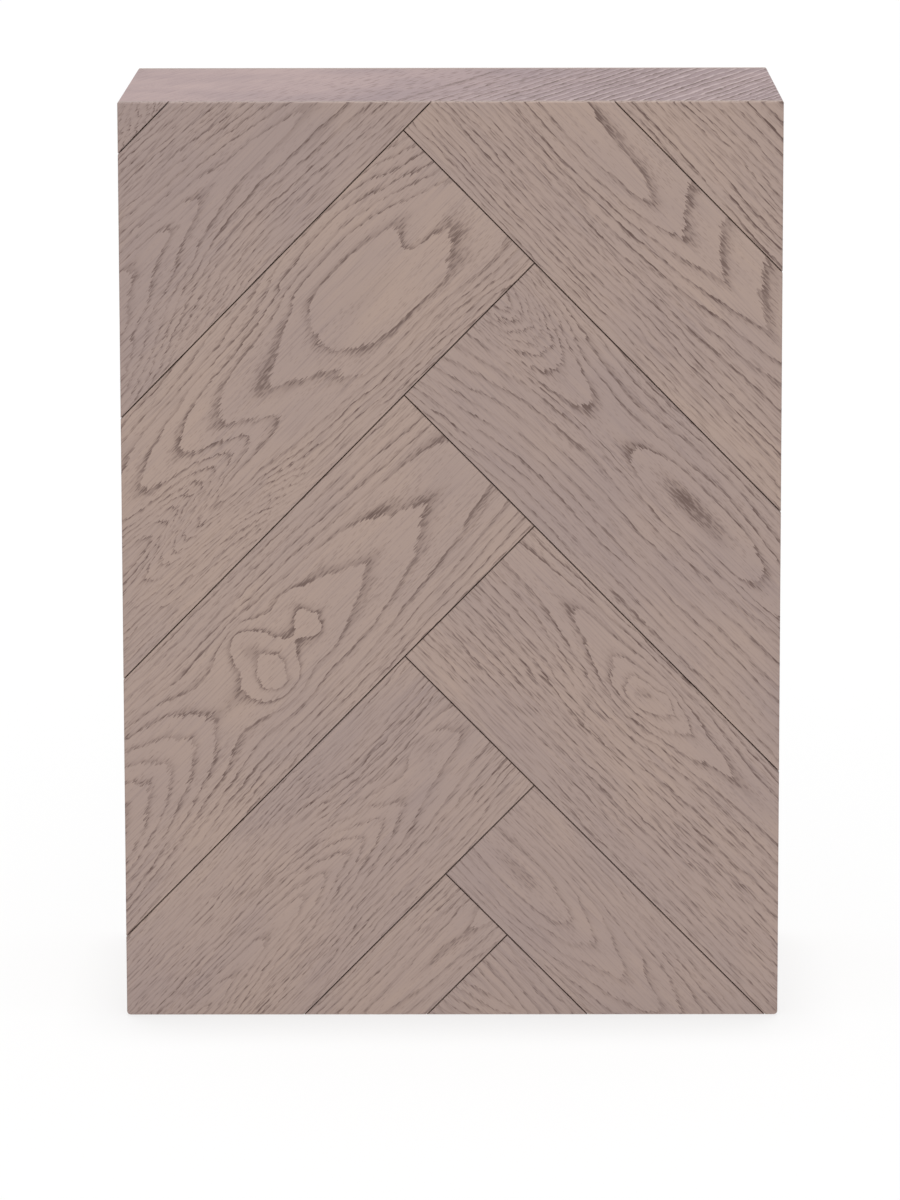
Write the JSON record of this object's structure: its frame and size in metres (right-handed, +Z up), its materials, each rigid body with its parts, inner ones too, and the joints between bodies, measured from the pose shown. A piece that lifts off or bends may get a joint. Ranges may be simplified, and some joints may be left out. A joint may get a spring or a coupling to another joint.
{
  "type": "parquet block",
  "caption": "Upright rectangular block faced with stained oak boards, its front laid in herringbone, its top and sides plain.",
  "frame": {"origin": "centre of the block's footprint, on the ground it stands on", "axes": "+Z up along the block's height, -Y out of the herringbone front, +X to the right seen from the front"},
  "size_m": [0.32, 0.19, 0.45],
  "materials": {
    "core_panel": "raw board",
    "front_oak": "grey-brown stained, matt lacquered",
    "plain_oak": "grey-brown stained, matt lacquered"
  },
  "bodies": {
    "root": {"core_block": "core_panel", "front_board_left_0": "front_oak", "front_board_left_1": "front_oak", "front_board_left_2": "front_oak", "front_board_left_3": "front_oak", "front_board_left_4": "front_oak", "front_board_left_5": "front_oak", "front_board_right_0": "front_oak", "front_board_right_1": "front_oak", "front_board_right_2": "front_oak", "front_board_right_3": "front_oak", "front_board_right_4": "front_oak", "front_board_right_5": "front_oak", "top_board": "plain_oak", "left_side_board": "plain_oak", "right_side_board": "plain_oak", "back_board": "plain_oak"}
  },
  "joints": []
}
